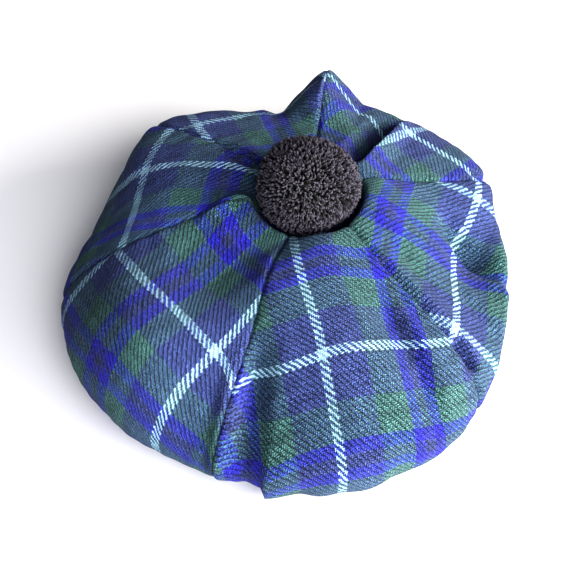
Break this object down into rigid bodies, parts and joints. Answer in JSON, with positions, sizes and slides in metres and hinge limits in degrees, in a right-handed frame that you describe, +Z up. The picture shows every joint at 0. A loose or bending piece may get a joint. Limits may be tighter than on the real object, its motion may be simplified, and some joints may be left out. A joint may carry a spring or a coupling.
{
  "type": "tam o shanter",
  "caption": "Soft flat round cap of wedge-shaped tartan gores turned under to a plain head band, with a clipped woollen ball at the centre of its crown.",
  "frame": {"origin": "centre of the bonnet's own box in plan, at the level of the head band's lower edge, on which it stands", "axes": "+Z up out of the crown through the toorie; -Y towards the wearer's front; +X to the right as seen from the front"},
  "size_m": [0.293, 0.3214, 0.1249],
  "materials": {
    "tartan_wool": "fulled wool twill, matt, navy, green, royal blue and ice blue tartan",
    "toorie_wool": "clipped charcoal wool yarn, matt"
  },
  "bodies": {
    "root": {"gore_front_left": "tartan_wool", "gore_front": "tartan_wool", "gore_right": "tartan_wool", "gore_back_right": "tartan_wool", "gore_back_left": "tartan_wool", "gore_left": "tartan_wool", "head_band": "tartan_wool", "toorie": "toorie_wool"}
  },
  "joints": []
}
